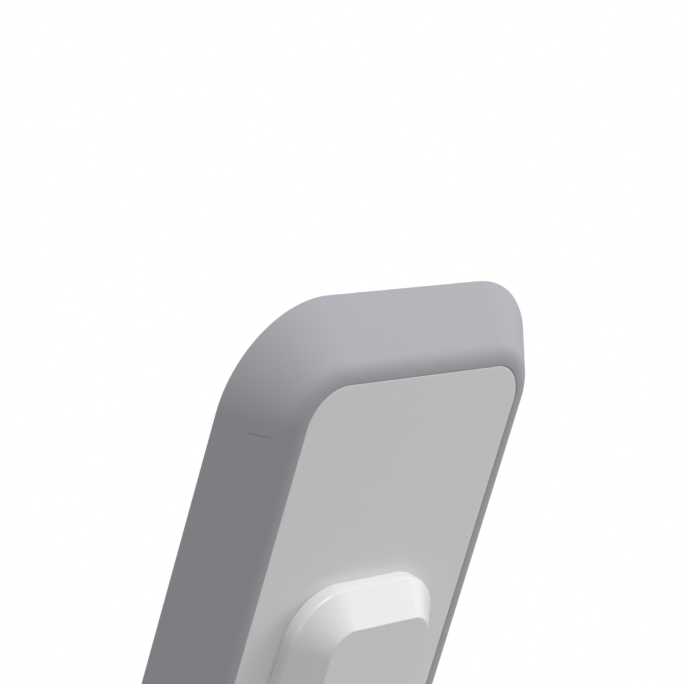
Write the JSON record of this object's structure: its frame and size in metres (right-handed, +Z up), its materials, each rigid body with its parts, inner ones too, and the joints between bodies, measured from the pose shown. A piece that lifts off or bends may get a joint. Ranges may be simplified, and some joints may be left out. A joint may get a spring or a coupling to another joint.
{
  "type": "wireless charging stand",
  "caption": "Leaning charging stand with a bevelled grey head, white inlaid back plate, bent white stem and a weighted bevelled base with a power socket at the back.",
  "frame": {"origin": "centre of the foot pad's underside, on the table", "axes": "+Z up; the phone leans back against the side that faces -Y; the stem and the power socket are on the +Y side"},
  "size_m": [0.078, 0.092, 0.1368],
  "materials": {
    "grey_shell": "fine satin, moulded",
    "white_plate": "satin, moulded",
    "soft_pad": "soft matte silicone",
    "rubber_pad": "matte",
    "black_moulding": "matte, moulded",
    "copper_wire": "enamelled wire",
    "ferrite": "dull",
    "screw_steel": "plated",
    "ballast_iron": "as cast",
    "circuit_board": "solder mask",
    "capacitor_body": "dull",
    "cream_terminal": "moulded",
    "clear_guide": "clear, polished ends"
  },
  "bodies": {
    "root": {"head_shell": "grey_shell", "head_front": "grey_shell", "face_pad": "soft_pad", "ledge_pad": "soft_pad", "head_back_plate": "white_plate", "coil_upper": "copper_wire", "coil_lower": "copper_wire", "ferrite_sheet": "ferrite", "coil_carrier": "black_moulding", "thermistor": "black_moulding", "head_screws": "screw_steel", "stem_head_screws": "screw_steel", "stem": "white_plate", "stem_lead": "black_moulding", "coil_terminal": "cream_terminal", "board_terminal": "cream_terminal", "base_shell": "grey_shell", "base_top_plate": "white_plate", "base_bottom": "black_moulding", "foot_pad": "rubber_pad", "ballast_plate": "ballast_iron", "driver_board": "circuit_board", "controller_chip": "black_moulding", "power_inductor": "ferrite", "resonance_capacitors": "capacitor_body", "power_socket": "screw_steel", "socket_tongue": "black_moulding", "status_led": "cream_terminal", "light_guide": "clear_guide", "stem_base_screws": "screw_steel", "base_screws": "screw_steel", "board_screws": "screw_steel"}
  },
  "joints": []
}
